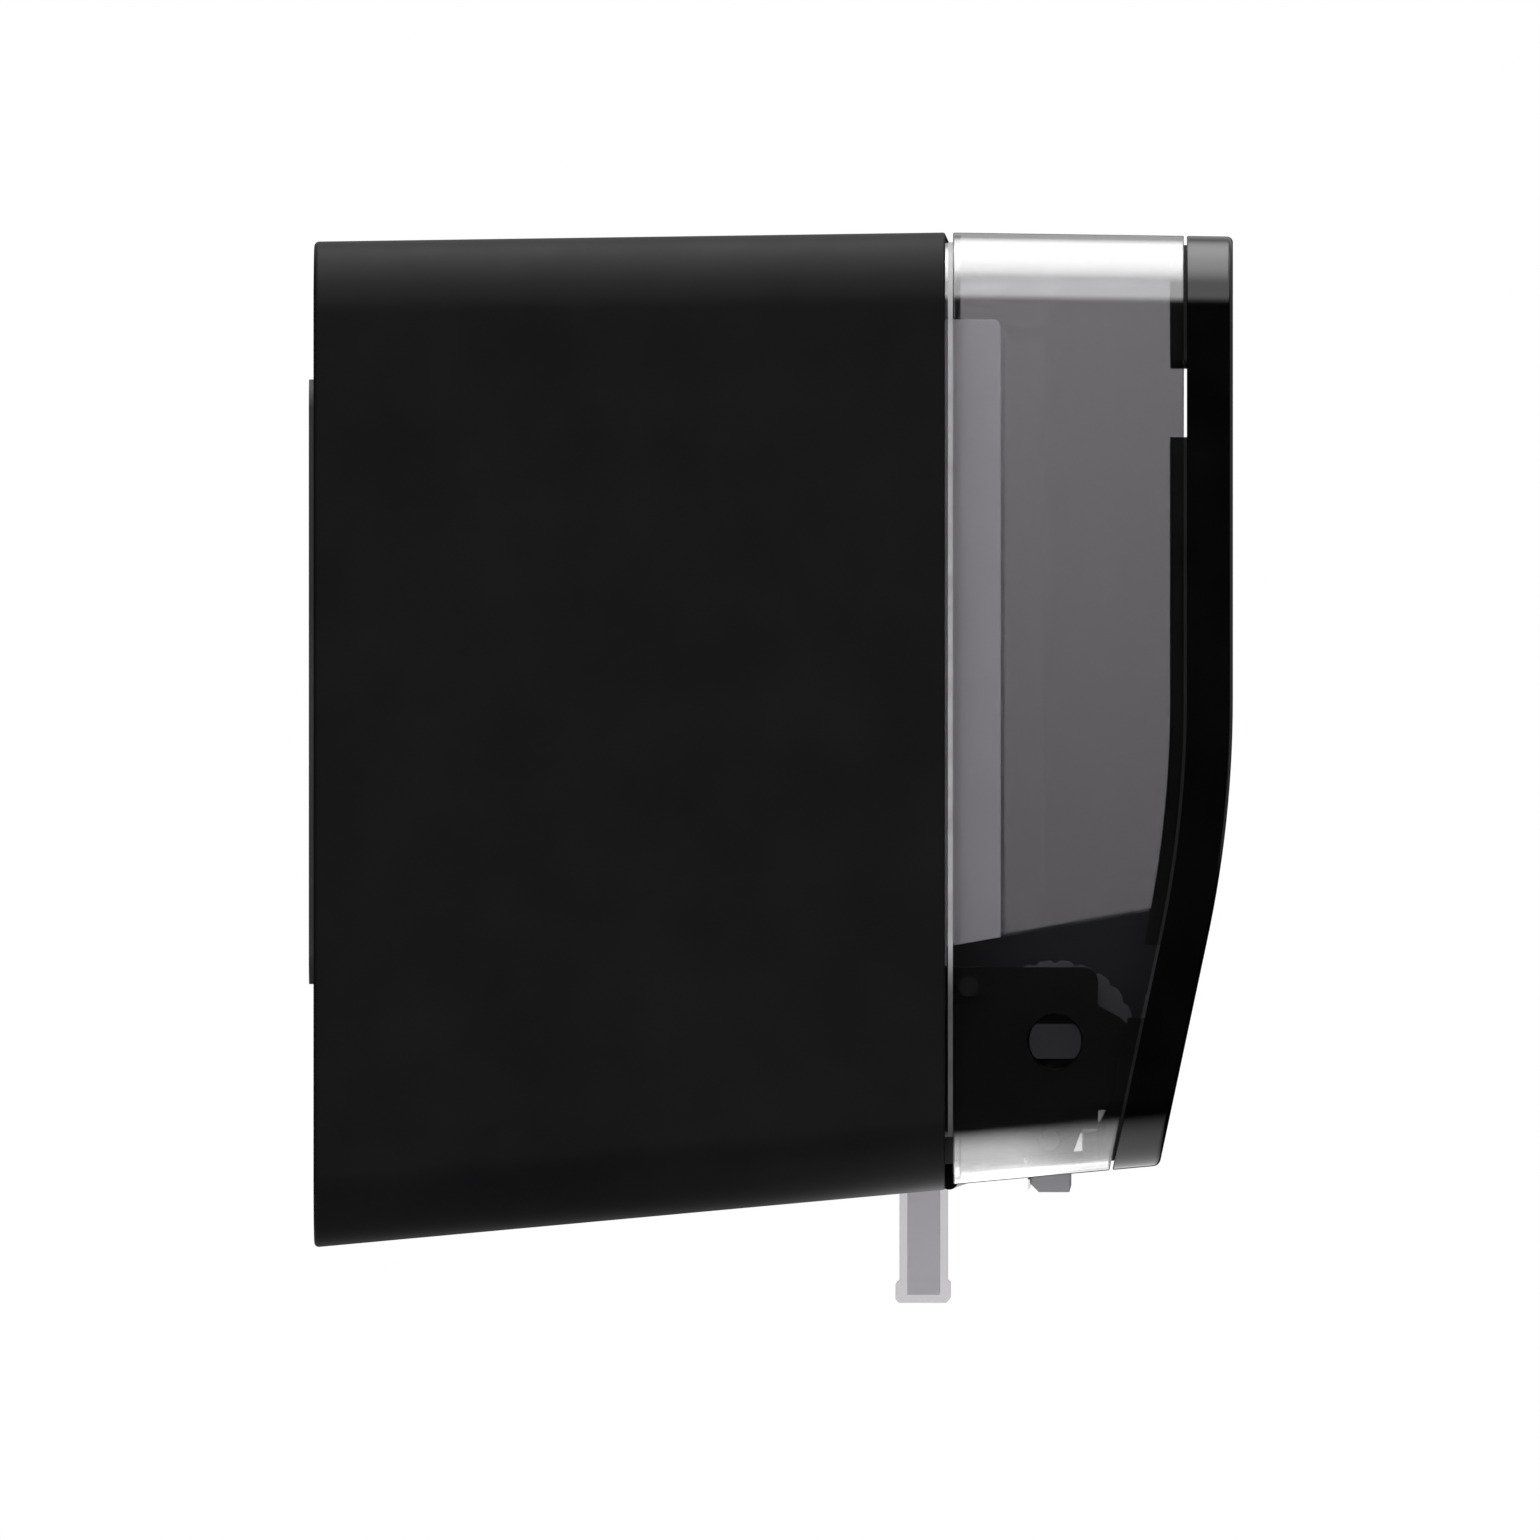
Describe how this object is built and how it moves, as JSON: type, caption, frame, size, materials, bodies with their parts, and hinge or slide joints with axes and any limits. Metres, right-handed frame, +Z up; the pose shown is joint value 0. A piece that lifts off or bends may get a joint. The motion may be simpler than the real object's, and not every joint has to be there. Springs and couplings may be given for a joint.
{
  "type": "cling film dispenser",
  "caption": "Wall-hung casing with a smoked drop-front cover, a sprung push lever, a geared feed roller, a tear bar and a film roll on a stub and a sprung holder.",
  "frame": {"origin": "middle of the wall plate's back face, on the wall", "axes": "+X across the width, the front faces -Y, +Z up, +Y into the wall"},
  "size_m": [0.38, 0.2575, 0.2987],
  "materials": {
    "black_plastic": "fine matt moulded grain, faint sheen on the corners",
    "panel_gloss": "polished black moulding",
    "smoke_clear": "smoke-tinted clear plastic, polished",
    "clear": "water-clear moulded plastic",
    "grey_plastic": "light grey moulded plastic",
    "dark_plastic": "dark grey moulded plastic",
    "mid_plastic": "mid grey moulded plastic",
    "nylon": "natural nylon",
    "grip_rubber": "soft grey rubber with fine ribs",
    "black_steel": "black powder coat",
    "steel": "drawn steel",
    "spring_steel": "spring wire",
    "zinc": "zinc plated",
    "card": "spiral wound board",
    "film": "tightly wound clear film"
  },
  "bodies": {
    "base": {"wall_plate": "black_steel", "plate_nuts": "zinc", "body_screws": "zinc", "body_washers": "zinc", "rear_body": "black_plastic", "cheek_left": "grey_plastic", "cheek_right": "grey_plastic", "cheek_screws": "zinc", "roll_spigot": "dark_plastic", "holder_screws": "zinc", "plunger_housing": "dark_plastic", "plunger_spring": "spring_steel", "chassis_left": "dark_plastic", "chassis_right": "dark_plastic", "chassis_screws": "zinc", "tie_rods": "steel", "bushes": "nylon", "pressure_axle": "steel", "nip_springs": "spring_steel", "gear_cover": "black_plastic", "end_cover": "black_plastic", "guard_screws": "black_steel", "chute": "dark_plastic", "tear_bar": "clear", "tear_blade": "steel", "bar_screws": "zinc", "lever_spring": "spring_steel", "lock_housing": "zinc", "lock_nut": "zinc", "hinge_pins": "steel"},
    "cover": {"clear_cover": "smoke_clear", "front_panel": "panel_gloss", "cover_catch": "steel", "catch_screws": "zinc"},
    "lock": {"lock_barrel": "zinc", "lock_cam": "steel", "cam_nut": "zinc"},
    "lever": {"push_lever": "clear", "lever_shaft": "steel", "sector_gear": "nylon", "shaft_clips": "zinc"},
    "pinion": {"pinion_gear": "nylon"},
    "roll": {"film_roll": "film", "roll_core": "card", "hub_left": "dark_plastic"},
    "drive": {"drive_shaft": "steel", "drive_cap": "mid_plastic", "drive_roller": "mid_plastic", "grip_sleeves": "grip_rubber", "feed_wheel": "mid_plastic"},
    "pressure": {"pressure_roller": "mid_plastic"},
    "plunger_slide": {"plunger": "mid_plastic", "plunger_clip": "zinc"},
    "right_hub": {"hub_right": "dark_plastic"}
  },
  "joints": [
    {"name": "cover_hinge", "type": "hinge", "parent": "base", "child": "cover", "pos_m": [0, -0.1786, -0.139], "axis": [1, 0, 0], "range_deg": [0, 85]},
    {"name": "lock_turn", "type": "hinge", "parent": "base", "child": "lock", "pos_m": [0, -0.158, 0.115], "axis": [0, 0, 1], "range_deg": [0, 90]},
    {"name": "lever_push", "type": "hinge", "parent": "base", "child": "lever", "pos_m": [0, -0.171, -0.115], "axis": [1, 0, 0], "range_deg": [0, 20], "stiffness_Nm_per_rad": 0.6, "springref_deg": -20.05, "deforming": ["lever_spring"]},
    {"name": "pinion_spin", "type": "hinge", "parent": "base", "child": "pinion", "pos_m": [0, -0.20809, -0.10002], "axis": [1, 0, 0], "range_deg": [-60, 0]},
    {"name": "roll_spin", "type": "hinge", "parent": "base", "child": "roll", "pos_m": [0, -0.098, 0.02], "axis": [1, 0, 0], "continuous": true},
    {"name": "drive_spin", "type": "hinge", "parent": "base", "child": "drive", "pos_m": [0, -0.20809, -0.10002], "axis": [1, 0, 0], "continuous": true},
    {"name": "pressure_spin", "type": "hinge", "parent": "base", "child": "pressure", "pos_m": [0, -0.18879, -0.10002], "axis": [1, 0, 0], "continuous": true},
    {"name": "plunger_slide", "type": "slide", "parent": "base", "child": "plunger_slide", "axis": [1, 0, 0], "range_m": [0, 0.011], "stiffness_N_per_m": 900, "springref_m": -0.008, "deforming": ["plunger_spring"]},
    {"name": "hub_spin", "type": "hinge", "parent": "plunger_slide", "child": "right_hub", "pos_m": [0, -0.098, 0.02], "axis": [1, 0, 0], "continuous": true}
  ],
  "couplings": [
    {"joint": "pinion_spin", "follows": "lever_push", "ratio": -3},
    {"joint": "drive_spin", "follows": "roll_spin", "ratio": -7.2727},
    {"joint": "pressure_spin", "follows": "roll_spin", "ratio": 10},
    {"joint": "hub_spin", "follows": "roll_spin", "ratio": 1}
  ]
}
